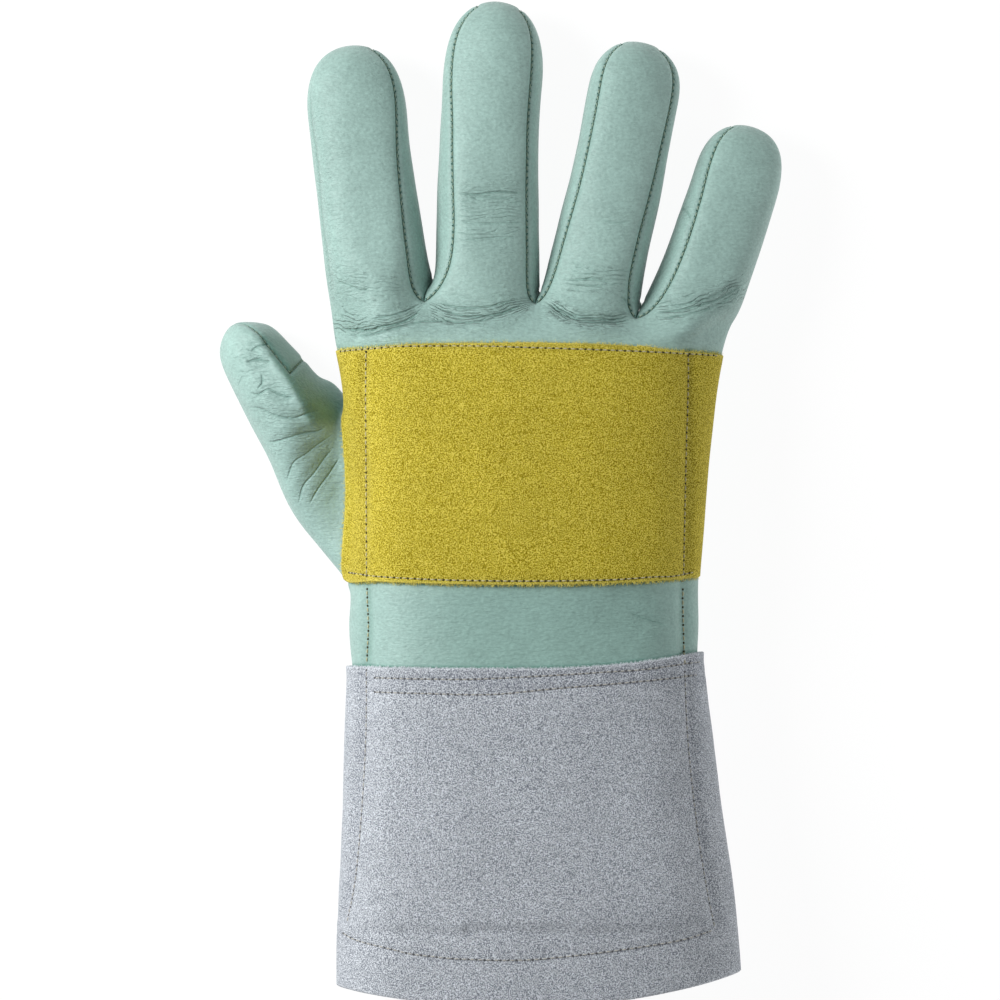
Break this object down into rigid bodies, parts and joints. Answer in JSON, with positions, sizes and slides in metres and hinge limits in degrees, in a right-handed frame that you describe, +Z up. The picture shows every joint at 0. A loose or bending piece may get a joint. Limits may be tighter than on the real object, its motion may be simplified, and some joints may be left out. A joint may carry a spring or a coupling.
{
  "type": "leather work glove",
  "caption": "Right-hand leather work glove lying on its palm, with a suede patch across the back and a long flared suede cuff.",
  "frame": {"origin": "middle of the palm, on the surface that the glove lies on", "axes": "+Y along the fingers, from the cuff to the fingertips; +Z up, out of the back of the hand; -X to the thumb"},
  "size_m": [0.1721, 0.3048, 0.052],
  "materials": {
    "grain_leather": "pale grey-green grain leather, fine grain, satin",
    "patch_suede": "mustard yellow suede, matt with a short nap",
    "cuff_suede": "light grey split leather, matt with a short nap"
  },
  "bodies": {
    "root": {"back_panel": "grain_leather", "palm_panel": "grain_leather", "index_strip_middle_side": "grain_leather", "middle_strip_index_side": "grain_leather", "middle_strip_ring_side": "grain_leather", "ring_strip_middle_side": "grain_leather", "ring_strip_little_side": "grain_leather", "little_strip_ring_side": "grain_leather", "thumb_back": "grain_leather", "thumb_front": "grain_leather", "back_patch": "patch_suede", "cuff_back": "cuff_suede", "cuff_palm": "cuff_suede"}
  },
  "joints": []
}
